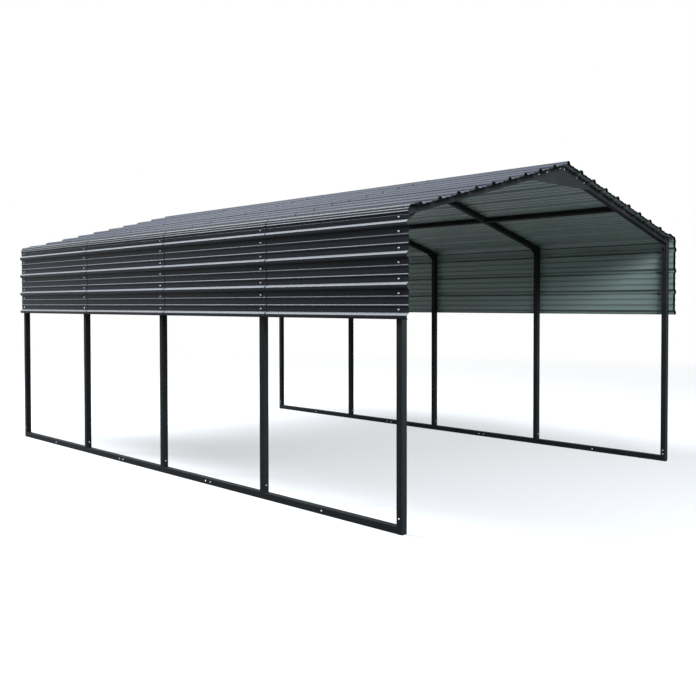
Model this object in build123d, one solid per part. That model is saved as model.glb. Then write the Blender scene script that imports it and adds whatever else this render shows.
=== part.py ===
from build123d import *
import math
import os

# A carport of square steel tube under a gable roof of ribbed steel sheet, whose sheets turn
# down at the eaves into half-height side walls. Both ends and the lower sides are open.
# X runs across, Y from the front to the back, Z up. The origin is on the ground, in the
# middle of the plan. Every size is in millimetres.

# Layout of the frame: five bows, each of two posts and two rafters
frame_width = 3658
bay = 1485
bay_count = 4
eave_height = 2130
roof_angle = 15.2

# Square tube of the whole frame
tube = 50.8
tube_wall = 1.5
tube_corner = 3.5

# Joints of the frame
knee_leg = 90
knee_plate_down = 55
knee_plate_along = 118
knee_plate_thickness = 4
ridge_plate_drop = 114
ridge_plate_end = 430
ridge_plate_inset = 4
ridge_plate_thickness = 3
purlin_tube = 44.5
purlin_station = 975
butt_clearance = 0

# Ribbed sheet: tall ribs at an even pitch, two low ribs in each pan between them
rib_pitch = 201
rib_height = 20
rib_base = 50
rib_crest = 16
low_rib_height = 4
low_rib_base = 18
low_rib_crest = 8
low_rib_spread = 58
sheet_thickness = 0.4
sheet_seat = 0.1
lap_clearance = 0.2
end_lap = 80
front_overhang = 90
back_overhang = 70
free_edge_height = 4

# Side sheets: they start with the last rib of the roof, whose lower side is opened out into
# a ramp. The sheet is creased beside the knee and comes back to the wall below a small lip.
ramp_min = 60
ramp_low_rib = 16
rib_lap_leg = 12
crease_in = 5
crease_rise = 17
lip_out = 9
lip_drop = 22
lip_foot_out = 3
lip_foot_drop = 30
wall_rib_drop = 97
wall_pan_count = 3
bottom_edge_height = 10

# Worked out from the sizes above
bow_count = bay_count + 1
half_width = frame_width / 2
outer_face = half_width + tube / 2
slope = math.radians(roof_angle)
ridge_height = eave_height + outer_face * math.tan(slope)
slope_length = outer_face / math.cos(slope)
rib_flank = math.atan2(rib_height, (rib_base - rib_crest) / 2)
lap_step = sheet_thickness + lap_clearance
rib_lap = lap_step + sheet_thickness + lap_clearance
middle_y = (front_overhang - back_overhang) / 2
bow_y = [middle_y + (i - bay_count / 2) * bay for i in range(bow_count)]

# Ribs of the roof are counted from the ridge. The two rows of roof sheets meet at the middle rib.
eave_rib = int((slope_length - rib_base / 2 - ramp_min) / rib_pitch)
middle_rib = 1 + (eave_rib - 1) // 2


def save(name, solids):
    """Write the solids of one sub-part as a STEP file of its own."""
    shape = solids[0] if len(solids) == 1 else Compound(children=solids)
    export_step(shape, f"parts/{name}.step")


def mirrored(solid, side):
    """The solid as it is on the right, or its mirror image on the left."""
    return solid if side == "right" else solid.mirror(Plane.YZ)


def tube_profile(plane, size=tube):
    """Hollow square section with rounded corners, centred on a plane."""
    outer = RectangleRounded(size, size, tube_corner)
    bore = size - 2 * tube_wall
    inner = RectangleRounded(bore, bore, tube_corner - tube_wall)
    return plane * (outer - inner)


def straight_tube(start, end):
    """A length of tube, cut square at both ends."""
    run = end - start
    across = Vector(1, 0, 0) if abs(run.X) < abs(run.length) / 2 else Vector(0, 1, 0)
    section = tube_profile(Plane(origin=start, x_dir=across, z_dir=run.normalized()))
    return extrude(section, run.length).solid()


def on_slope(station, height):
    """Point of the right-hand roof at a distance down the slope and off its face."""
    x = station * math.cos(slope) + height * math.sin(slope)
    z = ridge_height - station * math.sin(slope) + height * math.cos(slope)
    return (x, z)


def turned_offset(points, distance):
    """The same open line moved sideways by a distance, with mitred corners."""
    normals = []
    for (x0, z0), (x1, z1) in zip(points, points[1:]):
        run = math.hypot(x1 - x0, z1 - z0)
        normals.append((-(z1 - z0) / run, (x1 - x0) / run))
    moved = []
    for i, (x, z) in enumerate(points):
        before = normals[max(i - 1, 0)]
        after = normals[min(i, len(normals) - 1)]
        share = distance / (1 + before[0] * after[0] + before[1] * after[1])
        moved.append((x + share * (before[0] + after[0]), z + share * (before[1] + after[1])))
    return moved


def make_post(side, bow):
    """An upright from the ground, or from the rail, to the joint under the knee."""
    at_end = bow in (0, bow_count - 1)
    foot = 0 if at_end else tube + butt_clearance
    start = Vector(half_width, bow_y[bow], foot)
    end = Vector(half_width, bow_y[bow], eave_height - knee_leg)
    return mirrored(straight_tube(start, end), side)


def make_rafter(side, bow):
    """Half a bow: the rafter, the mitred knee with its short leg, and the corner plate."""
    y = bow_y[bow]
    foot_z = eave_height - knee_leg + butt_clearance
    outside = [on_slope(-2 * tube, 0), (outer_face, eave_height), (outer_face, foot_z)]
    middle = turned_offset(outside, -tube / 2)
    path = Polyline(*[(x, y, z) for x, z in middle[::-1]])
    section = tube_profile(Plane(origin=path @ 0, x_dir=(0, 1, 0), z_dir=(0, 0, 1)))
    bent = sweep(section, path=path, transition=Transition.RIGHT)
    reach = 4 * tube
    past_middle = Box(reach, reach, reach).move(Location((-reach / 2, y, ridge_height)))
    bent = bent - past_middle

    inside_x, inside_z = turned_offset(outside, -tube)[1]
    rise = knee_plate_along * math.sin(slope)
    along = (inside_x - knee_plate_along * math.cos(slope), inside_z + rise)
    heel = (inside_x, inside_z - knee_plate_down)
    corner = [along, (inside_x, inside_z), heel]
    outline = Polyline(*[(x, y, z) for x, z in corner], close=True)
    plate = extrude(make_face(outline), knee_plate_thickness / 2, dir=(0, 1, 0), both=True)
    return mirrored((bent + plate).solid(), side)


def make_ridge_plate(bow):
    """Flat plate that joins the two rafters, on the front face of the bow."""
    y = bow_y[bow] - tube / 2
    low_z = ridge_height - tube / math.cos(slope) - ridge_plate_drop
    top = on_slope(0, -ridge_plate_inset)
    apex_z = top[1] + top[0] * math.tan(slope)
    shoulder = on_slope(ridge_plate_end, -ridge_plate_inset)
    heel = on_slope(ridge_plate_end, -tube)
    toe_x = (ridge_height - tube / math.cos(slope) - low_z) / math.tan(slope)
    toe_x = min(toe_x, heel[0])
    right = [shoulder, heel, (toe_x, low_z)]
    left = [(-x, z) for x, z in reversed(right)]
    outline = Polyline(*[(x, y, z) for x, z in [(0, apex_z)] + right + left], close=True)
    return extrude(make_face(outline), ridge_plate_thickness, dir=(0, -1, 0)).solid()


def make_purlins(side):
    """Lengths of tube along one slope, one in each bay between the rafters."""
    x, z = on_slope(purlin_station, -purlin_tube / 2)
    lengths = []
    for i in range(bay_count):
        start = Vector(x, bow_y[i] + tube / 2 + butt_clearance, z)
        run = bay - tube - 2 * butt_clearance
        tilted = Plane(origin=start, x_dir=(math.cos(slope), 0, -math.sin(slope)), z_dir=(0, 1, 0))
        lengths.append(mirrored(extrude(tube_profile(tilted, purlin_tube), run).solid(), side))
    return lengths


def make_rail(side, first_y, last_y):
    """A length of the base rail on the ground."""
    start = Vector(half_width, first_y, tube / 2)
    end = Vector(half_width, last_y, tube / 2)
    return mirrored(straight_tube(start, end), side)


def ruled_solid(front, back):
    """Closed solid with flat faces between two rings of points of the same count."""
    faces = [Face(Wire.make_polygon(front)), Face(Wire.make_polygon(back))]
    for i in range(len(front)):
        j = (i + 1) % len(front)
        faces.append(Face(Wire.make_polygon([front[i], front[j], back[j], back[i]])))
    return Solid(Shell(faces))


def sheet_solid(line, bay_index):
    """One sheet over one bay, lying on the sheet of the bay in front of it."""
    y0 = bow_y[bay_index] - (end_lap if bay_index > 0 else front_overhang)
    y1 = bow_y[bay_index + 1] + (end_lap if bay_index < bay_count - 1 else back_overhang)
    lift = lap_step if bay_index > 0 else 0
    rings = []
    for y, height in ((y0, sheet_seat + lift), (y1, sheet_seat)):
        inner = turned_offset(line, height)
        outer = turned_offset(line, height + sheet_thickness)
        rings.append([(x, y, z) for x, z in inner + outer[::-1]])
    return ruled_solid(*rings)


def rib_section(centre, larger, last_height=0):
    """Stations and heights of one tall rib. A larger one fits over its neighbour's rib."""
    grow = larger / math.sin(rib_flank)
    crest_height = rib_height + larger
    crest = rib_base / 2 + grow - crest_height / math.tan(rib_flank)
    foot = rib_base / 2 + grow
    far_foot = foot - last_height / math.tan(rib_flank)
    return [(centre - foot, 0), (centre - crest, crest_height),
            (centre + crest, crest_height), (centre + far_foot, last_height)]


def low_rib(centre):
    """Stations and heights of one low rib."""
    return [(centre - low_rib_base / 2, 0), (centre - low_rib_crest / 2, low_rib_height),
            (centre + low_rib_crest / 2, low_rib_height), (centre + low_rib_base / 2, 0)]


def pan_ribs(rib_centre):
    """Stations and heights of the two low ribs in the pan below a tall rib."""
    middle = rib_centre + rib_pitch / 2
    return low_rib(middle - low_rib_spread / 2) + low_rib(middle + low_rib_spread / 2)


def roof_line(first_rib, last_rib):
    """Section of a roof sheet, down to the rib that laps over the next row."""
    stations = []
    for rib in range(first_rib, last_rib):
        stations += rib_section(rib * rib_pitch, 0)
        stations += pan_ribs(rib * rib_pitch)
    last = rib_section(last_rib * rib_pitch, rib_lap, free_edge_height)
    if last_rib == eave_rib:
        crest_end, crest_height = last[2]
        last = last[:2] + [(crest_end + rib_lap_leg, crest_height)]
    return [on_slope(station, height) for station, height in stations + last]


def along_ramp(start, end, distance, height):
    """Point of a straight run, measured back from its end and raised off it."""
    run = math.dist(start, end)
    dx, dz = (end[0] - start[0]) / run, (end[1] - start[1]) / run
    return (end[0] - distance * dx - height * dz, end[1] - distance * dz + height * dx)


def side_line():
    """Section of a side sheet, from the last rib of the roof over the eave and down the wall."""
    line = [on_slope(*point) for point in rib_section(eave_rib * rib_pitch, 0)[:3]]
    crease = (outer_face - crease_in, eave_height + crease_rise)
    lip = (outer_face + lip_out, eave_height - lip_drop)
    lip_foot = (outer_face + lip_foot_out, eave_height - lip_foot_drop)
    ramp = [along_ramp(line[-1], crease, -station, height) for station, height in low_rib(-ramp_low_rib)]
    line += ramp + [crease, lip, lip_foot]
    stations = []
    for pan in range(wall_pan_count):
        stations += rib_section(pan * rib_pitch, 0)
        stations += pan_ribs(pan * rib_pitch)
    stations += rib_section(wall_pan_count * rib_pitch, 0, bottom_edge_height)
    first_rib_z = eave_height - wall_rib_drop
    return line + [(outer_face + height, first_rib_z - station) for station, height in stations]


def make_sheets(line, side):
    """The sheets of one row, front to back."""
    return [mirrored(sheet_solid(line, i), side) for i in range(bay_count)]


def make_ridge_caps():
    """Cap sheets over the ridge, from the first rib of one slope to that of the other."""
    stations = [(rib_crest / 2, rib_height), (rib_base / 2, 0)] + pan_ribs(0)
    stations += rib_section(rib_pitch, rib_lap, free_edge_height)
    right = [on_slope(station, height) for station, height in stations]
    left = [(-x, z) for x, z in reversed(right)]
    peak = (0, ridge_height + rib_height / math.cos(slope))
    return [sheet_solid(left + [peak] + right, i) for i in range(bay_count)]


os.makedirs("parts", exist_ok=True)

between = ["second", "third", "fourth", "fifth", "sixth", "seventh", "eighth"]
places = ["front"] + between[:bow_count - 2] + ["back"]
for bow, place in enumerate(places):
    for side in ("left", "right"):
        save(f"{place}_{side}_post", [make_post(side, bow)])
        save(f"{place}_{side}_rafter", [make_rafter(side, bow)])
    save(f"{place}_ridge_plate", [make_ridge_plate(bow)])

# Each base rail is in three lengths, joined in the middle of the second bay from either end
rail_ends = [bow_y[0] + tube / 2 + butt_clearance, bow_y[1] + bay / 2]
rail_ends += [bow_y[-2] - bay / 2, bow_y[-1] - tube / 2 - butt_clearance]

for side in ("left", "right"):
    save(f"{side}_purlins", make_purlins(side))
    for name, start, end in zip(("front", "middle", "back"), rail_ends, rail_ends[1:]):
        save(f"{side}_rail_{name}", [make_rail(side, start, end)])
    save(f"{side}_upper_roof_sheets", make_sheets(roof_line(1, middle_rib), side))
    save(f"{side}_lower_roof_sheets", make_sheets(roof_line(middle_rib, eave_rib), side))
    save(f"{side}_wall_sheets", make_sheets(side_line(), side))

save("ridge_caps", make_ridge_caps())
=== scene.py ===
import math

import bpy
import numpy as np
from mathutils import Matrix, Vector


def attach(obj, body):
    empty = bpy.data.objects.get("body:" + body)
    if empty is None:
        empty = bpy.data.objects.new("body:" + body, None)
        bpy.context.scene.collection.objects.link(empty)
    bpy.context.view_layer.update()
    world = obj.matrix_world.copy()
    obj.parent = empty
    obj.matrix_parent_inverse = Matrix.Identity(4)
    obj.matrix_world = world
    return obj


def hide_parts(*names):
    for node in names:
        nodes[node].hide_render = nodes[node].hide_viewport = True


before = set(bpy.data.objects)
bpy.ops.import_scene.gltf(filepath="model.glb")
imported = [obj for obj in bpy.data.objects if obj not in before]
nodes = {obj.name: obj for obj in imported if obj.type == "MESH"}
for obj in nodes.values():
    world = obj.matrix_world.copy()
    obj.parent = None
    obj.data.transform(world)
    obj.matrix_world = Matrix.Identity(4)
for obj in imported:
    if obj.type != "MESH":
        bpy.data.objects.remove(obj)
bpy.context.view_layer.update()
print("frame loaded:", len(nodes), "nodes")


def hexColour(code):
    values = [int(code[i:i + 2], 16) / 255 for i in (1, 3, 5)]
    linear = [v / 12.92 if v <= 0.04045 else ((v + 0.055) / 1.055) ** 2.4 for v in values]
    return (*linear, 1.0)


def metres(*values):
    # sizes are kept in millimetres, and Blender takes metres
    return tuple(value / 1000 for value in values)


def inMetres(values):
    return {name: value / 1000 for name, value in values.items()}


def addObject(name, data):
    added = bpy.data.objects.new(name, data)
    bpy.context.scene.collection.objects.link(added)
    return added


def addNode(tree, kind, inputs=(), **settings):
    # inputs: constants, or the outputs that feed them, in order or under socket names or numbers
    node = tree.nodes.new(kind)
    for name, value in settings.items():
        setattr(node, name, value)
    for key, value in inputs.items() if isinstance(inputs, dict) else enumerate(inputs):
        if isinstance(value, bpy.types.NodeSocket):
            tree.links.new(value, node.inputs[key])
        else:
            node.inputs[key].default_value = value
    return node


def patternNoise(tree, size, detail=2.0, stretch=(1, 1, 1)):
    # noise fixed to the piece, with the size of its pattern in metres
    place = addNode(tree, "ShaderNodeTexCoord").outputs["Object"]
    mapping = addNode(tree, "ShaderNodeMapping", {"Vector": place, "Scale": stretch}).outputs[0]
    return addNode(tree, "ShaderNodeTexNoise",
                   {"Vector": mapping, "Scale": 1 / size, "Detail": detail}).outputs["Fac"]


def seenDirectly(tree):
    # 1 for a ray from the camera, a reflection or glass
    path = addNode(tree, "ShaderNodeLightPath").outputs
    glossy = addNode(tree, "ShaderNodeMath", (path["Is Camera Ray"], path["Is Glossy Ray"]),
                     operation="MAXIMUM").outputs[0]
    return addNode(tree, "ShaderNodeMath", (glossy, path["Is Transmission Ray"]), operation="MAXIMUM").outputs[0]


def newMaterial(name):
    material = bpy.data.materials.new(name)
    material.use_nodes = True
    tree = material.node_tree
    tree.nodes.clear()
    shader = addNode(tree, "ShaderNodeBsdfPrincipled")
    output = addNode(tree, "ShaderNodeOutputMaterial", {"Surface": shader.outputs[0]})
    return material, tree, shader, output


# Camera, where the photographer stood
cameraValues = {
    "place": (-5.815, -6.794, 1.508),
    "turn": -0.7989,
    "tilt": 0.0233,
    "lens": 43.78,
    "sensor": 36,
    "shift": (-0.0699, -0.0338),
    "clipEnd": 400,
}
cameraData = bpy.data.cameras.new("camera")
cameraData.lens = cameraValues["lens"]
cameraData.sensor_width = cameraValues["sensor"]
cameraData.shift_x, cameraData.shift_y = cameraValues["shift"]
cameraData.clip_end = cameraValues["clipEnd"]
camera = addObject("camera", cameraData)
camera.location = cameraValues["place"]
camera.rotation_euler = (math.pi / 2 - cameraValues["tilt"], 0, cameraValues["turn"])
bpy.context.scene.camera = camera
bpy.context.scene.view_settings.view_transform = "Standard"
print("camera placed")

# World, floor and lamps
lightValues = {
    "sky": "#e9eef5",
    "skyStrength": 0.24,
    "floorColour": "#dcddde",
    "floorBounce": "#75736e",
    "floorSize": 160.0,
    "floorWhiteNear": 0.46,
    "fadeStart": 6.0,
    "fadeEnd": 16.0,
    "lampColour": "#f0f7ff",
    "lamps": [
        # name, place, size across, size along, target, power
        ("highPanel", (-6.0, 11.0, 16.0), 8.0, 14.0, (-1.9, 1.0, 1.8), 9600),
        ("frontBox", (-1.5, -9.5, 6.0), 5.0, 3.0, (0.8, -2.0, 1.5), 1350),
    ],
}
world = bpy.data.worlds.new("studio")
bpy.context.scene.world = world
world.use_nodes = True
tree = world.node_tree
tree.nodes.clear()
light = addNode(tree, "ShaderNodeBackground",
                {"Color": hexColour(lightValues["sky"]), "Strength": lightValues["skyStrength"]})
white = addNode(tree, "ShaderNodeBackground", {"Color": (1, 1, 1, 1), "Strength": 1.0})
mixed = addNode(tree, "ShaderNodeMixShader", {0: seenDirectly(tree), 1: light.outputs[0], 2: white.outputs[0]})
addNode(tree, "ShaderNodeOutputWorld", {"Surface": mixed.outputs[0]})

# Painted studio floor: pale and matt, white where it runs off to the horizon
floorPaint, tree, shader, output = newMaterial("mattStudioFloorPaint")
floorTone = addNode(tree, "ShaderNodeMix", {0: seenDirectly(tree), 6: hexColour(lightValues["floorBounce"]),
                                            7: hexColour(lightValues["floorColour"])}, data_type="RGBA").outputs[2]
tree.links.new(floorTone, shader.inputs["Base Color"])
shader.inputs["Roughness"].default_value = 0.9
shader.inputs["Specular IOR Level"].default_value = 0.1
whiteFloor = addNode(tree, "ShaderNodeEmission", {"Color": (1, 1, 1, 1), "Strength": 1.0})
place = addNode(tree, "ShaderNodeTexCoord").outputs["Object"]
away = addNode(tree, "ShaderNodeVectorMath", (place,), operation="LENGTH").outputs["Value"]
fade = addNode(tree, "ShaderNodeMapRange", (away, lightValues["fadeStart"], lightValues["fadeEnd"],
                                            lightValues["floorWhiteNear"], 1.0)).outputs[0]
share = addNode(tree, "ShaderNodeMath", (fade, seenDirectly(tree)), operation="MULTIPLY").outputs[0]
mixed = addNode(tree, "ShaderNodeMixShader", {0: share, 1: shader.outputs[0], 2: whiteFloor.outputs[0]})
tree.links.new(mixed.outputs[0], output.inputs["Surface"])

half = lightValues["floorSize"] / 2
floorMesh = bpy.data.meshes.new("floor")
floorMesh.from_pydata([(-half, -half, 0), (half, -half, 0), (half, half, 0), (-half, half, 0)], [], [(0, 1, 2, 3)])
floorMesh.materials.append(floorPaint)
floor = addObject("floor", floorMesh)

for name, spot, across, along, target, power in lightValues["lamps"]:
    lampData = bpy.data.lights.new(name, "AREA")
    lampData.shape = "RECTANGLE"
    lampData.size, lampData.size_y = across, along
    lampData.energy = power
    lampData.color = hexColour(lightValues["lampColour"])[:3]
    lamp = addObject(name, lampData)
    lamp.location = spot
    lamp.visible_camera = False
    lamp.rotation_euler = (Vector(target) - Vector(spot)).to_track_quat("-Z", "Y").to_euler()
print("floor and light set")


def upwardness(tree):
    # 1 on a face that looks straight up, -1 on one that looks down
    facing = addNode(tree, "ShaderNodeTexCoord").outputs["Normal"]
    return addNode(tree, "ShaderNodeSeparateXYZ", (facing,)).outputs["Z"]


def foldShade(tree, reach):
    # painted shade in the folds: 0 on open faces and up to 1 deep in a fold narrower than the reach
    near = addNode(tree, "ShaderNodeAmbientOcclusion", {"Distance": reach}, samples=8, only_local=True).outputs["AO"]
    return addNode(tree, "ShaderNodeMapRange", (near, 0.5, 0.93, 1, 0)).outputs[0]


def addGrain(tree, shader, size, height):
    bump = addNode(tree, "ShaderNodeBump", {"Height": patternNoise(tree, size), "Distance": height, "Strength": 1.0})
    tree.links.new(bump.outputs[0], shader.inputs["Normal"])


def cloudedTones(tree, shader, values):
    # two close tones in soft patches of the given size, and a roughness that follows them
    cloud = patternNoise(tree, values["size"], values.get("detail", 2.0), values.get("stretch", (1, 1, 1)))
    rough = addNode(tree, "ShaderNodeMapRange", (cloud, 0.3, 0.7, *values["roughness"])).outputs[0]
    tree.links.new(rough, shader.inputs["Roughness"])
    patches = addNode(tree, "ShaderNodeMapRange", (cloud, 0.3, 0.7, 0, 1)).outputs[0]
    first, second = (hexColour(tone) for tone in values["tones"])
    return addNode(tree, "ShaderNodeMix", {0: patches, 6: first, 7: second}, data_type="RGBA").outputs[2]


# Polyester coil coat on galvanised sheet: rolled on and baked, an even satin charcoal with a
# slight bluish cast. The steep ledges of the ribs are painted pale, as dust and a painted highlight,
# and their undersides and folds are painted near black as painted shade, which draws each rib of
# the wall as a pale line over a dark one. The roof is duller and cloudier all over
coatValues = {
    "wallCoat": {"tones": ("#25282d", "#2d3035"), "ledgeDustAndHighlight": "#767779", "roughness": (0.34, 0.40), "level": 0.04},
    "roofCoat": {"tones": ("#262a32", "#383c45"), "ledgeDustAndHighlight": "#3c4049", "roughness": (0.44, 0.54), "level": 0.07},
    "clouds": {"size": 0.65, "detail": 3.0, "stretch": (1, 0.35, 1)},
    "paintedShadeColour": "#08090a", "paintedShadeReach": 0.014,
    "grainSize": 0.006, "grainHeight": 0.00004,  # the real grain is about 0.1 mm, drawn larger so that it shows
}


def coilCoat(name, values):
    material, tree, shader, output = newMaterial(name)
    plain = cloudedTones(tree, shader, {**coatValues["clouds"], **values})
    # steep upward ledges are painted pale, as dust and a painted highlight; faces near level stay plain
    upward = upwardness(tree)
    ledges = addNode(tree, "ShaderNodeMapRange", (upward, 0.35, 0.62, 0, 1)).outputs[0]
    notLevel = addNode(tree, "ShaderNodeMapRange", (upward, 0.9, 0.95, 1, 0)).outputs[0]
    dustAndHighlight = addNode(tree, "ShaderNodeMath", (ledges, notLevel), operation="MULTIPLY").outputs[0]
    withDustAndHighlight = addNode(tree, "ShaderNodeMix", {0: dustAndHighlight, 6: plain, 7: hexColour(values["ledgeDustAndHighlight"])},
                    data_type="RGBA").outputs[2]
    # painted shade: faces that look down and deep folds are mixed towards near black
    underside = addNode(tree, "ShaderNodeMapRange", (upward, -0.6, -0.35, 1, 0)).outputs[0]
    paintedShade = addNode(tree, "ShaderNodeMath", (foldShade(tree, coatValues["paintedShadeReach"]), underside),
                    operation="MAXIMUM").outputs[0]
    withPaintedShade = addNode(tree, "ShaderNodeMix", {0: paintedShade, 6: withDustAndHighlight, 7: hexColour(coatValues["paintedShadeColour"])},
                    data_type="RGBA").outputs[2]
    tree.links.new(withPaintedShade, shader.inputs["Base Color"])
    shader.inputs["Specular IOR Level"].default_value = values["level"]
    addGrain(tree, shader, coatValues["grainSize"], coatValues["grainHeight"])
    return material


wallCoat = coilCoat("charcoalPolyesterCoilCoat", coatValues["wallCoat"])
roofCoat = coilCoat("dustyCharcoalPolyesterCoilCoat", coatValues["roofCoat"])

# Backing coat of the same sheet: a thin pale grey-green washcoat, more matt than the face, with
# painted shade on the flanks and in the folds of the ribs, which shows them as thin dark lines
backValues = {
    # these tones are darker than the pale coat itself: painted shade of the inside under the roof
    "tones": ("#71837f", "#7e8f8b"), "size": 0.5, "detail": 3.0, "stretch": (1, 0.3, 1), "roughness": (0.38, 0.5),
    "paintedShadeColour": "#222725", "paintedShadeReach": 0.008, "flankShade": 0.55,
}
backCoat, tree, shader, output = newMaterial("greyGreenBackingCoat")
washed = cloudedTones(tree, shader, backValues)
# painted shade: steep flanks and the folds are mixed towards dark grey-green
steep = addNode(tree, "ShaderNodeMath", (upwardness(tree),), operation="ABSOLUTE").outputs[0]
flanks = addNode(tree, "ShaderNodeMapRange", (steep, 0.35, 0.5, 0, backValues["flankShade"])).outputs[0]
offSlopes = addNode(tree, "ShaderNodeMapRange", (steep, 0.9, 0.95, 1, 0)).outputs[0]
onFlanks = addNode(tree, "ShaderNodeMath", (flanks, offSlopes), operation="MULTIPLY").outputs[0]
paintedShade = addNode(tree, "ShaderNodeMath", (foldShade(tree, backValues["paintedShadeReach"]), onFlanks),
                operation="MAXIMUM").outputs[0]
withPaintedShade = addNode(tree, "ShaderNodeMix", {0: paintedShade, 6: washed, 7: hexColour(backValues["paintedShadeColour"])},
                data_type="RGBA").outputs[2]
tree.links.new(withPaintedShade, shader.inputs["Base Color"])


def mottledFinish(name, values):
    material, tree, shader, output = newMaterial(name)
    tree.links.new(cloudedTones(tree, shader, values), shader.inputs["Base Color"])
    for key, label in (("level", "Specular IOR Level"), ("metallic", "Metallic")):
        if key in values:
            shader.inputs[label].default_value = values[key]
    if "grain" in values:
        addGrain(tree, shader, *values["grain"])
    return material


# Painted shade: a narrow matt black line round the two open ends and along the foot of the walls, and a wider black
# band inside the open ends, where the edges and the overhang lie in shade
endShade = mottledFinish("blackEndShade", {
    "tones": ("#090909", "#151413"), "size": 0.08, "detail": 3.0, "roughness": (0.5, 0.65), "level": 0.03})

# Painted shade along the end laps: a matt black band on the top face where one sheet lies on the one before it
lapShade = mottledFinish("blackLapShade", {
    "tones": ("#060607", "#101112"), "size": 0.01, "roughness": (0.6, 0.75), "level": 0.1})

# Sheared edge of galvanised sheet: bare zinc and steel, a thin grey line
cutEdge = mottledFinish("shearedZincEdge", {
    "tones": ("#45484b", "#6b7074"), "size": 0.004, "roughness": (0.4, 0.55), "metallic": 1.0})

# Powder coat on the steel tube: near black, satin, with a fine orange peel
powderCoat = mottledFinish("blackPowderCoat", {
    "tones": ("#202223", "#292b2c"), "size": 0.3, "detail": 3.0, "roughness": (0.42, 0.55), "level": 0.02,
    "grain": (0.005, 0.00005)})

# Zinc plating on the screws: bright, faintly mottled
zincPlate = mottledFinish("brightZincPlate", {
    "tones": ("#bcc0c4", "#e2e5e7"), "size": 0.004, "roughness": (0.25, 0.4), "metallic": 1.0})

# Roof screw heads: near black and matt, a painted shade on the screws of the roof
roofScrewShade = mottledFinish("darkRoofScrewShade", {
    "tones": ("#0d0e10", "#1a1b1e"), "size": 0.004, "roughness": (0.5, 0.65), "level": 0.12})

# Washer of black rubber, matt and a little dusty
washerRubber = mottledFinish("blackWasherRubber", {
    "tones": ("#121314", "#1e1f20"), "size": 0.003, "roughness": (0.7, 0.85)})
print("finishes made")

for name, node in nodes.items():
    finish = wallCoat if name.endswith("sheets") or name == "ridge_caps" else powderCoat
    for slot in node.material_slots:
        slot.material = finish

# Sizes of the frame and its sheets, in millimetres
frameValues = {
    "halfWidth": 1829, "tube": 50.8, "corner": 3.5, "eaveHeight": 2130, "roofAngle": 15.2,
    "bay": 1485, "bayCount": 4, "middleY": 10, "ridgePlate": 3,
    "purlinTube": 44.5, "purlinCorner": 2, "purlinStation": 975,
    "kneeDown": 55, "kneeAlong": 118, "kneePlate": 4,
}
sheetValues = {
    "thickness": 0.4, "seat": 0.1, "lapClearance": 0.2, "bendRadius": 2.5, "bendShare": 0.4,
    "ribPitch": 201, "ribHeight": 20, "ribBase": 50, "ribCrest": 16,
    "shoulderIn": 6.2, "shoulderHeight": 11, "shoulderRise": 0.65,
    "lowRibHeight": 4.8, "lowRibBase": 18, "lowRibCrest": 6.4, "lowRibSpread": 58,
    "middleRib": 5, "eaveRib": 9, "ribLapLeg": 12, "freeEdge": 4,
    "rampLowRib": 16, "creaseIn": 5, "creaseRise": 17,
    # how far out from the posts and how far below the eave each fold lies
    "eaveFolds": [(-2.5, -4), (3, 1), (5, 14), (9, 20), (9, 22), (2, 30), (0.3, 37), (3.2, 41.5)],
    "wallRibDrop": 97, "wallPans": 3, "bottomEdge": 10, "hemPoints": 2,
    "endLap": 80, "frontOverhang": 90, "backOverhang": 70,
    "edgeBand": 3.5, "lapBand": 16, "innerBand": 22,  # painted shade outside, painted shade of the lap, and painted shade inside
    "rows": 16, "waviness": 0.6, "waveLength": 420, "seed": 5,
}
fv, sv = frameValues, sheetValues
slope = math.radians(fv["roofAngle"])
outerFace = fv["halfWidth"] + fv["tube"] / 2
ridgeHeight = fv["eaveHeight"] + outerFace * math.tan(slope)
ribFlank = math.atan2(sv["ribHeight"], (sv["ribBase"] - sv["ribCrest"]) / 2)
lapStep = sv["thickness"] + sv["lapClearance"]
ribLap = 2 * lapStep
bowY = [fv["middleY"] + (i - fv["bayCount"] / 2) * fv["bay"] for i in range(fv["bayCount"] + 1)]


def onSlope(station, height):
    # point of the right-hand roof at a distance down the slope and off its face
    return (station * math.cos(slope) + height * math.sin(slope),
            ridgeHeight - station * math.sin(slope) + height * math.cos(slope))


def tallRib(centre, larger=0.0, lastHeight=0.0):
    grow = larger / math.sin(ribFlank)
    crestHeight = sv["ribHeight"] + larger
    foot = sv["ribBase"] / 2 + grow
    crest = foot - crestHeight / math.tan(ribFlank)
    # each flank is steeper at its foot and leans back at a soft shoulder
    shoulder, shoulderHeight = foot - sv["shoulderIn"], sv["shoulderHeight"] + sv["shoulderRise"] * larger
    near = [(centre - foot, 0), (centre - shoulder, shoulderHeight), (centre - crest, crestHeight)]
    far = [(centre + crest, crestHeight), (centre + shoulder, shoulderHeight)]
    if lastHeight > sv["shoulderHeight"] / 2:
        far.pop()
    return near + far + [(centre + foot - lastHeight / math.tan(ribFlank), lastHeight)]


def lowRib(centre):
    base, crest, height = sv["lowRibBase"] / 2, sv["lowRibCrest"] / 2, sv["lowRibHeight"]
    return [(centre - base, 0), (centre - crest, height), (centre + crest, height), (centre + base, 0)]


def panRibs(ribCentre):
    middle = ribCentre + sv["ribPitch"] / 2
    return lowRib(middle - sv["lowRibSpread"] / 2) + lowRib(middle + sv["lowRibSpread"] / 2)


def ribsAndPans(first, last):
    stations = []
    for rib in range(first, last):
        stations += tallRib(rib * sv["ribPitch"]) + panRibs(rib * sv["ribPitch"])
    return stations


def roofSection(firstRib, lastRib):
    last = tallRib(lastRib * sv["ribPitch"], ribLap, sv["freeEdge"])
    if lastRib == sv["eaveRib"]:
        last = last[:3] + [(last[3][0] + sv["ribLapLeg"], last[3][1])]
    return [onSlope(*point) for point in ribsAndPans(firstRib, lastRib) + last]


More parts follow.
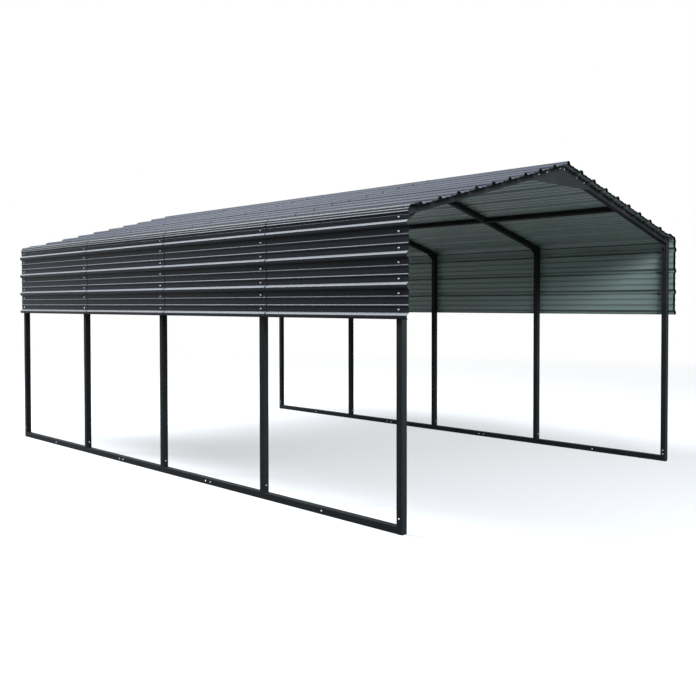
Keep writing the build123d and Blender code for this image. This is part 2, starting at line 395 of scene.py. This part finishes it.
def wallSection():
    # over the last rib of the roof, down the ramp to the crease, round the lip and down the wall
    line = [onSlope(*point) for point in tallRib(sv["eaveRib"] * sv["ribPitch"])[:4]]
    crease = (outerFace - sv["creaseIn"], fv["eaveHeight"] + sv["creaseRise"])
    run = math.dist(line[-1], crease)
    dx, dz = (crease[0] - line[-1][0]) / run, (crease[1] - line[-1][1]) / run
    line += [(crease[0] + station * dx - height * dz, crease[1] + station * dz + height * dx)
             for station, height in lowRib(-sv["rampLowRib"])]
    line += [crease] + [(outerFace + out, fv["eaveHeight"] - drop) for out, drop in sv["eaveFolds"]]
    stations = ribsAndPans(0, sv["wallPans"]) + tallRib(sv["wallPans"] * sv["ribPitch"], 0, sv["bottomEdge"])
    firstRib = fv["eaveHeight"] - sv["wallRibDrop"]
    return line + [(outerFace + height, firstRib - station) for station, height in stations]


def capSection():
    stations = [(sv["ribCrest"] / 2, sv["ribHeight"]), (sv["ribBase"] / 2, 0)] + panRibs(0)
    stations += tallRib(sv["ribPitch"], ribLap, sv["freeEdge"])
    right = [onSlope(*point) for point in stations]
    peak = (0, ridgeHeight + sv["ribHeight"] / math.cos(slope))
    return [(-x, z) for x, z in reversed(right)] + [peak] + right


def rounded(points, radius):
    # each corner becomes a small bend of two flats, which leaves most of the flats beside it
    line = [np.array(points[0], float)]
    for before, corner, after in zip(points, points[1:], points[2:]):
        before, corner, after = (np.array(p, float) for p in (before, corner, after))
        back, ahead = before - corner, after - corner
        backRun, aheadRun = np.linalg.norm(back), np.linalg.norm(ahead)
        back, ahead = back / backRun, ahead / aheadRun
        turn = math.pi - math.acos(max(-1, min(1, float(back @ ahead))))
        reach = min(radius * math.tan(turn / 2), sv["bendShare"] * backRun, sv["bendShare"] * aheadRun)
        start, end = corner + back * reach, corner + ahead * reach
        line += [start, (start + end) / 4 + corner / 2, end]
    return line + [np.array(points[-1], float)]


def acrossLine(points):
    # how far each point moves for a millimetre of height off the sheet
    steps = np.diff(np.array(points), axis=0)
    normals = np.stack([-steps[:, 1], steps[:, 0]], 1) / np.linalg.norm(steps, axis=1)[:, None]
    before = np.vstack([normals[:1], normals])
    after = np.vstack([normals, normals[-1:]])
    return (before + after) / (1 + (before * after).sum(1))[:, None]


def newTree(name, sockets):
    # sockets: each kind of input and the names of its inputs
    tree = bpy.data.node_groups.new(name, "GeometryNodeTree")
    for kind, labels in sockets:
        for label in labels:
            tree.interface.new_socket(label, in_out="INPUT", socket_type="NodeSocket" + kind)
    tree.interface.new_socket("Geometry", in_out="OUTPUT", socket_type="NodeSocketGeometry")
    return tree, addNode(tree, "NodeGroupInput").outputs


def sheetTree():
    # folds a run of lapped sheets from one section line, a sheet to each bay
    tree, given = newTree("lappedSheets", (
        ("Geometry", ["Section"]),
        ("Int", ["Sheets", "Rows", "Seed"]),
        ("Float", ["First Bow", "Bay", "Front Overhang", "Back Overhang", "End Lap", "Seat", "Lap Step", "Thickness",
                   "Waviness", "Wave Length", "Edge Band", "Lap Band", "Inner Band"]),
        ("Material", ["Outside", "Inside", "Cut Edge", "End Shade", "Lap Shade"])))
    zoneStart = addNode(tree, "GeometryNodeRepeatInput")
    zoneEnd = addNode(tree, "GeometryNodeRepeatOutput")
    zoneStart.pair_with_output(zoneEnd)
    zoneEnd.repeat_items.clear()
    zoneEnd.repeat_items.new("GEOMETRY", "Sheets")
    tree.links.new(given["Sheets"], zoneStart.inputs["Iterations"])
    turn = zoneStart.outputs["Iteration"]

    # ends of this sheet: it laps its neighbours, and overhangs the two end bows
    lastTurn = addNode(tree, "ShaderNodeMath", (given["Sheets"], 1.0), operation="SUBTRACT").outputs[0]
    isFirst = addNode(tree, "FunctionNodeCompare", {2: turn, 3: 0}, data_type="INT", operation="EQUAL").outputs[0]
    isLast = addNode(tree, "FunctionNodeCompare", (turn, lastTurn), data_type="FLOAT", operation="EQUAL").outputs[0]
    frontPast = addNode(tree, "GeometryNodeSwitch", (isFirst, given["End Lap"], given["Front Overhang"]),
                        input_type="FLOAT").outputs[0]
    backPast = addNode(tree, "GeometryNodeSwitch", (isLast, given["End Lap"], given["Back Overhang"]),
                       input_type="FLOAT").outputs[0]
    lift = addNode(tree, "GeometryNodeSwitch", (isFirst, given["Lap Step"], 0.0), input_type="FLOAT").outputs[0]
    bow = addNode(tree, "ShaderNodeMath", (turn, given["Bay"], given["First Bow"]),
                  operation="MULTIPLY_ADD").outputs[0]
    nextBow = addNode(tree, "ShaderNodeMath", (bow, given["Bay"]), operation="ADD").outputs[0]
    front = addNode(tree, "ShaderNodeMath", (bow, frontPast), operation="SUBTRACT").outputs[0]
    back = addNode(tree, "ShaderNodeMath", (nextBow, backPast), operation="ADD").outputs[0]

    # a grid whose columns are the points of the section and whose rows run from front to back
    size = addNode(tree, "GeometryNodeAttributeDomainSize", (given["Section"],), component="MESH")
    grid = addNode(tree, "GeometryNodeMeshGrid",
                   {"Vertices X": size.outputs["Point Count"], "Vertices Y": given["Rows"]}).outputs["Mesh"]
    index = addNode(tree, "GeometryNodeInputIndex").outputs[0]
    midIndex = addNode(tree, "ShaderNodeMath", (index, 0.5), operation="ADD").outputs[0]
    columnsIn = addNode(tree, "ShaderNodeMath", (midIndex, given["Rows"]), operation="DIVIDE").outputs[0]
    column = addNode(tree, "ShaderNodeMath", (columnsIn,), operation="FLOOR").outputs[0]
    columnStart = addNode(tree, "ShaderNodeMath", (column, given["Rows"]), operation="MULTIPLY").outputs[0]
    row = addNode(tree, "ShaderNodeMath", (index, columnStart), operation="SUBTRACT").outputs[0]
    lastRow = addNode(tree, "ShaderNodeMath", (given["Rows"], 1.0), operation="SUBTRACT").outputs[0]
    rowsLeft = addNode(tree, "ShaderNodeMath", (lastRow, row), operation="SUBTRACT").outputs[0]

    # rows are even between the inner bands. The last two of an end stand at its band and its edge
    lastEven = addNode(tree, "ShaderNodeMath", (lastRow, 2.0), operation="SUBTRACT").outputs[0]
    evenFront = addNode(tree, "ShaderNodeMath", (front, given["Inner Band"]), operation="ADD").outputs[0]
    evenBack = addNode(tree, "ShaderNodeMath", (back, given["Inner Band"]), operation="SUBTRACT").outputs[0]
    y = addNode(tree, "ShaderNodeMapRange", (row, 2.0, lastEven, evenFront, evenBack)).outputs[0]
    frontBand = addNode(tree, "GeometryNodeSwitch", (isFirst, given["Lap Band"], given["Edge Band"]),
                        input_type="FLOAT").outputs[0]
    frontLine = addNode(tree, "ShaderNodeMath", (front, frontBand), operation="ADD").outputs[0]
    backLine = addNode(tree, "ShaderNodeMath", (back, given["Edge Band"]), operation="SUBTRACT").outputs[0]
    for rowsIn, limit, stand in ((row, 1.5, frontLine), (row, 0.5, front),
                                 (rowsLeft, 1.5, backLine), (rowsLeft, 0.5, back)):
        atEnd = addNode(tree, "ShaderNodeMath", (rowsIn, limit), operation="LESS_THAN").outputs[0]
        y = addNode(tree, "GeometryNodeSwitch", (atEnd, y, stand), input_type="FLOAT").outputs[0]

    # the section's own points, directions and hem at this column
    place = addNode(tree, "GeometryNodeInputPosition").outputs[0]
    across = addNode(tree, "GeometryNodeInputNamedAttribute", {"Name": "across"}, data_type="FLOAT_VECTOR").outputs[0]
    hem = addNode(tree, "GeometryNodeInputNamedAttribute", {"Name": "hem"}, data_type="FLOAT").outputs[0]
    sectionPoint, acrossPoint, hemPoint = (
        addNode(tree, "GeometryNodeSampleIndex", {"Geometry": given["Section"], 1: value, "Index": column},
                data_type=kind, domain="POINT").outputs[0]
        for value, kind in ((place, "FLOAT_VECTOR"), (across, "FLOAT_VECTOR"), (hem, "FLOAT")))
    shift = addNode(tree, "ShaderNodeCombineXYZ", {1: y}).outputs[0]
    onLine = addNode(tree, "ShaderNodeVectorMath", (sectionPoint, shift), operation="ADD").outputs[0]

    # the sheet lies on its seat, its front end on the sheet before it, and waves a little
    fineness = addNode(tree, "ShaderNodeMath", (1.0, given["Wave Length"]), operation="DIVIDE").outputs[0]
    noise = addNode(tree, "ShaderNodeTexNoise",
                    {"Vector": onLine, "W": given["Seed"], "Scale": fineness, "Detail": 1.0},
                    noise_dimensions="4D").outputs["Fac"]
    centred = addNode(tree, "ShaderNodeMath", (noise, 0.5), operation="SUBTRACT").outputs[0]
    swing = addNode(tree, "ShaderNodeMath", (centred, given["Waviness"]), operation="MULTIPLY").outputs[0]
    along = addNode(tree, "ShaderNodeMapRange", (y, front, back, 0.0, 1.0)).outputs[0]
    raised = addNode(tree, "ShaderNodeMapRange", (y, front, back, lift, 0.0)).outputs[0]
    seated = addNode(tree, "ShaderNodeMath", (given["Seat"], raised), operation="ADD").outputs[0]
    height = addNode(tree, "ShaderNodeMath", (swing, along, seated), operation="MULTIPLY_ADD").outputs[0]
    off = addNode(tree, "ShaderNodeVectorMath", {0: acrossPoint, "Scale": height}, operation="SCALE").outputs[0]
    under = addNode(tree, "ShaderNodeVectorMath", (onLine, off), operation="ADD").outputs[0]
    kept = grid
    for name, value, kind in (("lift", acrossPoint, "FLOAT_VECTOR"), ("hem", hemPoint, "FLOAT")):
        kept = addNode(tree, "GeometryNodeStoreNamedAttribute", {"Geometry": kept, "Name": name, "Value": value},
                       data_type=kind, domain="POINT").outputs[0]
    inner = addNode(tree, "GeometryNodeSetPosition", {"Geometry": kept, "Position": under}).outputs[0]

    # thickness: the outer face and the four edges rise from the inner face
    shell = addNode(tree, "GeometryNodeExtrudeMesh", {"Mesh": inner, "Offset Scale": 0.0, "Individual": False},
                    mode="FACES")
    top = shell.outputs["Top"]
    lifted = addNode(tree, "GeometryNodeInputNamedAttribute", {"Name": "lift"}, data_type="FLOAT_VECTOR").outputs[0]
    gauge = addNode(tree, "ShaderNodeVectorMath", {0: lifted, "Scale": given["Thickness"]},
                    operation="SCALE").outputs[0]
    faced = addNode(tree, "GeometryNodeSetPosition",
                    {"Geometry": shell.outputs["Mesh"], "Selection": top, "Offset": gauge}).outputs[0]
    backed = addNode(tree, "GeometryNodeFlipFaces", (inner,)).outputs[0]

    # bands at the ends: black painted shade at the two open ends and on the hem, and a black
    # painted shade of the lap where a sheet's front end lies on the sheet before it
    farOff = 9.0  # further than any band
    faceY = addNode(tree, "ShaderNodeSeparateXYZ", (place,)).outputs["Y"]
    toFront = addNode(tree, "ShaderNodeMath", (faceY, front), operation="SUBTRACT").outputs[0]
    toBack = addNode(tree, "ShaderNodeMath", (back, faceY), operation="SUBTRACT").outputs[0]
    openFront = addNode(tree, "GeometryNodeSwitch", (isFirst, farOff, toFront), input_type="FLOAT").outputs[0]
    openBack = addNode(tree, "GeometryNodeSwitch", (isLast, farOff, toBack), input_type="FLOAT").outputs[0]
    toLap = addNode(tree, "GeometryNodeSwitch", (isFirst, toFront, farOff), input_type="FLOAT").outputs[0]
    toOpen = addNode(tree, "ShaderNodeMath", (openFront, openBack), operation="MINIMUM").outputs[0]
    inEdge, inInner, inLap = (
        addNode(tree, "ShaderNodeMath", (reach, given[band]), operation="LESS_THAN").outputs[0]
        for reach, band in ((toOpen, "Edge Band"), (toOpen, "Inner Band"), (toLap, "Lap Band")))
    onHem = addNode(tree, "ShaderNodeMath", (hem, 0.9), operation="GREATER_THAN").outputs[0]
    painted = addNode(tree, "ShaderNodeMath", (inEdge, onHem), operation="MAXIMUM").outputs[0]
    onEdge, onLap = (addNode(tree, "ShaderNodeMath", (band, top), operation="MULTIPLY").outputs[0]
                     for band in (painted, inLap))
    for label, faces in (("Cut Edge", True), ("Outside", top), ("End Shade", onEdge)):
        faced = addNode(tree, "GeometryNodeSetMaterial",
                        {"Geometry": faced, "Selection": faces, "Material": given[label]}).outputs[0]
    for label, faces in (("Inside", True), ("End Shade", inInner)):
        backed = addNode(tree, "GeometryNodeSetMaterial",
                         {"Geometry": backed, "Selection": faces, "Material": given[label]}).outputs[0]
    faced = addNode(tree, "GeometryNodeStoreNamedAttribute", {"Geometry": faced, "Name": "lapShaded", "Value": onLap},
                    data_type="BOOLEAN", domain="FACE").outputs[0]
    both = addNode(tree, "GeometryNodeJoinGeometry")
    for part in (zoneStart.outputs["Sheets"], faced, backed):
        tree.links.new(part, both.inputs[0])
    tree.links.new(both.outputs[0], zoneEnd.inputs["Sheets"])

    # the faces join where their edges meet, and stay sharp where they turn by more than 8 degrees
    merged = addNode(tree, "GeometryNodeMergeByDistance",
                     {"Geometry": zoneEnd.outputs["Sheets"], "Distance": 0.00001}).outputs[0]
    bend = addNode(tree, "GeometryNodeInputMeshEdgeAngle").outputs["Unsigned Angle"]
    sharp = addNode(tree, "ShaderNodeMath", (bend, math.radians(8)), operation="GREATER_THAN").outputs[0]
    smooth = addNode(tree, "GeometryNodeSetShadeSmooth", {"Geometry": merged, "Shade Smooth": True},
                     domain="FACE").outputs[0]
    soft = addNode(tree, "GeometryNodeSetShadeSmooth",
                   {"Geometry": smooth, "Selection": sharp, "Shade Smooth": False}, domain="EDGE").outputs[0]
    lapShaded = addNode(tree, "GeometryNodeInputNamedAttribute", {"Name": "lapShaded"}, data_type="BOOLEAN").outputs[0]
    real = addNode(tree, "GeometryNodeRealizeInstances", (soft,)).outputs[0]
    done = addNode(tree, "GeometryNodeSetMaterial",
                   {"Geometry": real, "Selection": lapShaded, "Material": given["Lap Shade"]}).outputs[0]
    addNode(tree, "NodeGroupOutput", (done,))
    return tree


def setInputs(modifier, values):
    for item in modifier.node_group.interface.items_tree:
        if item.item_type == "SOCKET" and item.in_out == "INPUT" and item.name in values:
            modifier[item.identifier] = values[item.name]


def builtBy(tree, name, base, values):
    # runs a tree on a base mesh and keeps the result as a plain object
    base.materials.append(next(v for v in values.values() if isinstance(v, bpy.types.Material)))
    carrier = addObject(name + "Base", base)
    modifier = carrier.modifiers.new("build", "NODES")
    modifier.node_group = tree
    setInputs(modifier, values)
    evaluated = carrier.evaluated_get(bpy.context.evaluated_depsgraph_get())
    mesh = bpy.data.meshes.new_from_object(evaluated)
    mesh.name = name
    bpy.data.objects.remove(carrier)
    return addObject(name, mesh)


def lineMesh(name, points, vectors, hem):
    mesh = bpy.data.meshes.new(name)
    mesh.from_pydata([tuple(p) for p in points], [(i, i + 1) for i in range(len(points) - 1)], [])
    # one layer is filled before the next is made, since a new layer moves the first
    across = mesh.attributes.new("across", "FLOAT_VECTOR", "POINT")
    for i, vector in enumerate(vectors):
        across.data[i].vector = tuple(vector)
    hems = mesh.attributes.new("hem", "FLOAT", "POINT")
    for i, value in enumerate(hem):
        hems.data[i].value = value
    return mesh


lappedSheets = sheetTree()
sheetInputs = {
    **inMetres({
        "First Bow": bowY[0], "Bay": fv["bay"], "Front Overhang": sv["frontOverhang"],
        "Back Overhang": sv["backOverhang"], "End Lap": sv["endLap"], "Seat": sv["seat"], "Lap Step": lapStep,
        "Thickness": sv["thickness"], "Waviness": sv["waviness"], "Wave Length": sv["waveLength"],
        "Edge Band": sv["edgeBand"], "Lap Band": sv["lapBand"], "Inner Band": sv["innerBand"],
    }),
    "Sheets": fv["bayCount"], "Rows": sv["rows"], "Seed": sv["seed"],
    "Inside": backCoat, "Cut Edge": cutEdge, "End Shade": endShade, "Lap Shade": lapShade,
}


def makeSheets(name, node, section, side, coat, hemPoints=0):
    line = rounded(section, sv["bendRadius"])
    across = acrossLine(line)
    hem = [float(i >= len(line) - hemPoints) for i in range(len(line))]
    points = [metres(x, 0, z) for x, z in line]
    vectors = [(x, 0, z) for x, z in across]
    if side == "left":
        points = [(-x, y, z) for x, y, z in reversed(points)]
        vectors = [(-x, y, z) for x, y, z in reversed(vectors)]
        hem = hem[::-1]
    base = lineMesh(name + "Line", points, vectors, hem)
    piece = builtBy(lappedSheets, name, base, {**sheetInputs, "Outside": coat})
    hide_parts(node)
    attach(piece, "root")
    return piece


upperRoof = roofSection(1, sv["middleRib"])
lowerRoof = roofSection(sv["middleRib"], sv["eaveRib"])
for side in ("left", "right"):
    makeSheets(side + "UpperRoof", side + "_upper_roof_sheets", upperRoof, side, roofCoat)
    makeSheets(side + "LowerRoof", side + "_lower_roof_sheets", lowerRoof, side, roofCoat)
    makeSheets(side + "Wall", side + "_wall_sheets", wallSection(), side, wallCoat, sv["hemPoints"])
makeSheets("ridgeCaps", "ridge_caps", capSection(), "right", roofCoat)
print("sheets folded")

# Washered screws of the wall, the roof and the frame
screwValues = {
    "sheet": {"Head Width": 8.0, "Head Height": 5.0, "Flange Width": 13.0, "Flange Height": 1.4,
              "Rubber Width": 15.5, "Rubber Height": 1.8},
    "frame": {"Head Width": 8.0, "Head Height": 4.5, "Flange Width": 12.0, "Flange Height": 1.2,
              "Rubber Width": 12.0, "Rubber Height": 0.3},
    "offRib": 47, "offSheet": 0.5, "seed": 11,
}
kv = screwValues


def screwTree():
    # sets a washered hexagon screw on each point, turned at random about its own axis
    tree, given = newTree("washerScrews", (
        ("Geometry", ["Points"]), ("Float", kv["sheet"]), ("Int", ["Seed"]), ("Material", ["Metal", "Rubber"])))
    screw = addNode(tree, "GeometryNodeJoinGeometry")
    level = 0.0
    # each part stands on the one before it and narrows towards its top
    for label, sides, taper in (("Rubber", 14, 1.0), ("Flange", 14, 0.86), ("Head", 6, 0.94)):
        depth = given[label + " Height"]
        radius = addNode(tree, "ShaderNodeMath", (given[label + " Width"], 0.5), operation="MULTIPLY").outputs[0]
        top = addNode(tree, "ShaderNodeMath", (radius, taper), operation="MULTIPLY").outputs[0]
        cone = addNode(tree, "GeometryNodeMeshCone",
                       {"Vertices": sides, "Radius Bottom": radius, "Radius Top": top, "Depth": depth}).outputs["Mesh"]
        lift = addNode(tree, "ShaderNodeCombineXYZ", {2: level}).outputs[0]
        moved = addNode(tree, "GeometryNodeTransform", {"Geometry": cone, "Translation": lift}).outputs[0]
        marked = addNode(tree, "GeometryNodeStoreNamedAttribute",
                         {"Geometry": moved, "Name": "isRubber", "Value": label == "Rubber"},
                         data_type="BOOLEAN", domain="FACE").outputs[0]
        tree.links.new(marked, screw.inputs[0])
        level = addNode(tree, "ShaderNodeMath", (level, depth), operation="ADD").outputs[0]
    facing = addNode(tree, "GeometryNodeInputNamedAttribute", {"Name": "facing"}, data_type="FLOAT_VECTOR").outputs[0]
    upright = addNode(tree, "FunctionNodeAlignRotationToVector", {"Vector": facing}, axis="Z").outputs[0]
    spin = addNode(tree, "FunctionNodeRandomValue", {2: 0.0, 3: math.tau, "Seed": given["Seed"]},
                   data_type="FLOAT").outputs[1]
    spun = addNode(tree, "FunctionNodeAxisAngleToRotation", {"Axis": (0, 0, 1), "Angle": spin}).outputs[0]
    turned = addNode(tree, "FunctionNodeRotateRotation", {0: upright, 1: spun}, rotation_space="LOCAL").outputs[0]
    placed = addNode(tree, "GeometryNodeInstanceOnPoints",
                     {"Points": given["Points"], "Instance": screw.outputs[0], "Rotation": turned}).outputs[0]
    isRubber = addNode(tree, "GeometryNodeInputNamedAttribute", {"Name": "isRubber"}, data_type="BOOLEAN").outputs[0]
    done = addNode(tree, "GeometryNodeRealizeInstances", (placed,)).outputs[0]
    for label, faces in (("Metal", True), ("Rubber", isRubber)):
        done = addNode(tree, "GeometryNodeSetMaterial",
                       {"Geometry": done, "Selection": faces, "Material": given[label]}).outputs[0]
    addNode(tree, "NodeGroupOutput", (done,))
    return tree


washerScrews = screwTree()


def makeScrews(name, places, kind, metal):
    # places: point and outward direction of each screw, in metres
    base = bpy.data.meshes.new(name + "Points")
    base.from_pydata([point for point, _ in places], [], [])
    layer = base.attributes.new("facing", "FLOAT_VECTOR", "POINT")
    for i, (_, facing) in enumerate(places):
        layer.data[i].vector = facing
    piece = builtBy(washerScrews, name, base,
                    {**inMetres(kv[kind]), "Seed": kv["seed"], "Metal": metal, "Rubber": washerRubber})
    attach(piece, "root")
    return piece


screwFoot = sv["seat"] + sv["thickness"] + kv["offSheet"]
firstWallRib = fv["eaveHeight"] - sv["wallRibDrop"]
for side, sign in (("left", -1), ("right", 1)):
    roofPlaces, wallPlaces = [], []
    for y in bowY:
        for rib in range(1, sv["eaveRib"]):
            for offset in (-kv["offRib"], kv["offRib"]):
                x, z = onSlope(rib * sv["ribPitch"] + offset, screwFoot)
                roofPlaces.append((metres(sign * x, y, z), (sign * math.sin(slope), 0, math.cos(slope))))
        for pan in range(sv["wallPans"] + 1):
            for offset in (kv["offRib"], -kv["offRib"]):
                z = firstWallRib - pan * sv["ribPitch"] + offset
                if z > firstWallRib - sv["wallPans"] * sv["ribPitch"]:
                    wallPlaces.append((metres(sign * (outerFace + screwFoot), y, z), (sign, 0, 0)))
    makeScrews(side + "RoofScrews", roofPlaces, "sheet", roofScrewShade)
    makeScrews(side + "WallScrews", wallPlaces, "sheet", zincPlate)

# Screws of the frame: through the ridge plates, at the feet of the posts and at the joints of the rails
frameScrewValues = {
    "plateX": (32, 213, 326), "footHigh": 105, "footLow": 70, "railHigh": 27, "jointOff": 35, "endBayY": 2185,
}
jv = frameScrewValues
framePlaces = []
for y in bowY:
    for x in jv["plateX"]:
        z = ridgeHeight - x * math.tan(slope) - fv["tube"] / 2 / math.cos(slope)
        front = y - fv["tube"] / 2 - fv["ridgePlate"]
        framePlaces += [(metres(sign * x, front, z), (0, -1, 0)) for sign in (-1, 1)]
for sign in (-1, 1):
    outside = (sign * outerFace, (sign, 0, 0))
    inside = (sign * (outerFace - fv["tube"]), (-sign, 0, 0))
    for y in (bowY[0], bowY[-1]):
        for (x, facing), high in ((outside, "footHigh"), (inside, "footHigh"), (inside, "footLow")):
            framePlaces.append((metres(x, y, jv[high]), facing))
    for y in bowY[1:-1]:
        point = metres(sign * fv["halfWidth"], y - fv["tube"] / 2, jv["footHigh"])
        framePlaces.append((point, (0, -1, 0)))
    joints = (bowY[1] + fv["bay"] / 2, bowY[-2] - fv["bay"] / 2)
    along = [joint + off for joint in joints for off in (-jv["jointOff"], jv["jointOff"])]
    for y in along + [-jv["endBayY"], jv["endBayY"]]:
        for x, facing in (outside, inside):
            framePlaces.append((metres(x, y, jv["railHigh"]), facing))
makeScrews("frameScrews", framePlaces, "frame", zincPlate)
print("screws set")

# Weld beads of the knees and the purlins, coated over like the tube
weldValues = {"bead": {"Radius": 2.2, "Step": 5.0, "Ripple": 6.0, "Uneven": 1.2}, "seed": 3}


def weldTree():
    # lays an uneven bead along each seam
    tree, given = newTree("weldBeads", (
        ("Geometry", ["Seams"]), ("Float", weldValues["bead"]), ("Int", ["Seed"]), ("Material", ["Coat"])))
    seams = addNode(tree, "GeometryNodeMeshToCurve", {0: given["Seams"]}).outputs[0]
    even = addNode(tree, "GeometryNodeResampleCurve", {"Curve": seams, "Length": given["Step"]},
                   mode="LENGTH").outputs[0]
    ring = addNode(tree, "GeometryNodeCurvePrimitiveCircle", {"Resolution": 6, "Radius": given["Radius"]}).outputs[0]
    bead = addNode(tree, "GeometryNodeCurveToMesh",
                   {"Curve": even, "Profile Curve": ring, "Fill Caps": True}).outputs[0]
    fineness = addNode(tree, "ShaderNodeMath", (1.0, given["Ripple"]), operation="DIVIDE").outputs[0]
    noise = addNode(tree, "ShaderNodeTexNoise", {"W": given["Seed"], "Scale": fineness},
                    noise_dimensions="4D").outputs["Fac"]
    centred = addNode(tree, "ShaderNodeMath", (noise, 0.5), operation="SUBTRACT").outputs[0]
    amount = addNode(tree, "ShaderNodeMath", (centred, given["Uneven"]), operation="MULTIPLY").outputs[0]
    outward = addNode(tree, "GeometryNodeInputNormal").outputs[0]
    push = addNode(tree, "ShaderNodeVectorMath", {0: outward, "Scale": amount}, operation="SCALE").outputs[0]
    rough = addNode(tree, "GeometryNodeSetPosition", {"Geometry": bead, "Offset": push}).outputs[0]
    smooth = addNode(tree, "GeometryNodeSetShadeSmooth", {"Geometry": rough, "Shade Smooth": True}).outputs[0]
    real = addNode(tree, "GeometryNodeRealizeInstances", (smooth,)).outputs[0]
    done = addNode(tree, "GeometryNodeSetMaterial", {"Geometry": real, "Material": given["Coat"]}).outputs[0]
    addNode(tree, "NodeGroupOutput", (done,))
    return tree


seamLines = []
kneeX = outerFace - fv["tube"]
kneeZ = ridgeHeight - kneeX * math.tan(slope) - fv["tube"] / math.cos(slope)
plateX = kneeX - fv["kneeAlong"] * math.cos(slope)
plateZ = kneeZ + fv["kneeAlong"] * math.sin(slope)
halfTube, cut = fv["purlinTube"] / 2, fv["purlinCorner"]
deep = fv["purlinTube"] - cut
# three sides of a purlin: off the middle of its station, and down from the roof's face
purlinLine = [(-halfTube, fv["corner"]), (-halfTube, deep), (cut - halfTube, deep + cut),
              (halfTube - cut, deep + cut), (halfTube, deep), (halfTube, fv["corner"])]
purlinSeam = [onSlope(fv["purlinStation"] + off, -down) for off, down in purlinLine]
for sign in (-1, 1):
    for y in bowY:
        for face in (-1, 1):
            mitreY, plateY = y + face * fv["tube"] / 2, y + face * fv["kneePlate"] / 2
            seamLines.append([(sign * (outerFace - fv["corner"]), mitreY, fv["eaveHeight"] - fv["corner"]),
                              (sign * kneeX, mitreY, kneeZ)])
            seamLines.append([(sign * plateX, plateY, plateZ), (sign * kneeX, plateY, kneeZ),
                              (sign * kneeX, plateY, kneeZ - fv["kneeDown"])])
    for first, second in zip(bowY, bowY[1:]):
        for y in (first + fv["tube"] / 2, second - fv["tube"] / 2):
            seamLines.append([(sign * x, y, z) for x, z in purlinSeam])
weldPoints, weldEdges = [], []
for line in seamLines:
    weldEdges += [(len(weldPoints) + i, len(weldPoints) + i + 1) for i in range(len(line) - 1)]
    weldPoints += [metres(*point) for point in line]
seamMesh = bpy.data.meshes.new("weldSeams")
seamMesh.from_pydata(weldPoints, weldEdges, [])
welds = builtBy(weldTree(), "weldBeads", seamMesh,
                {**inMetres(weldValues["bead"]), "Seed": weldValues["seed"], "Coat": powderCoat})
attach(welds, "root")
print("welds laid")
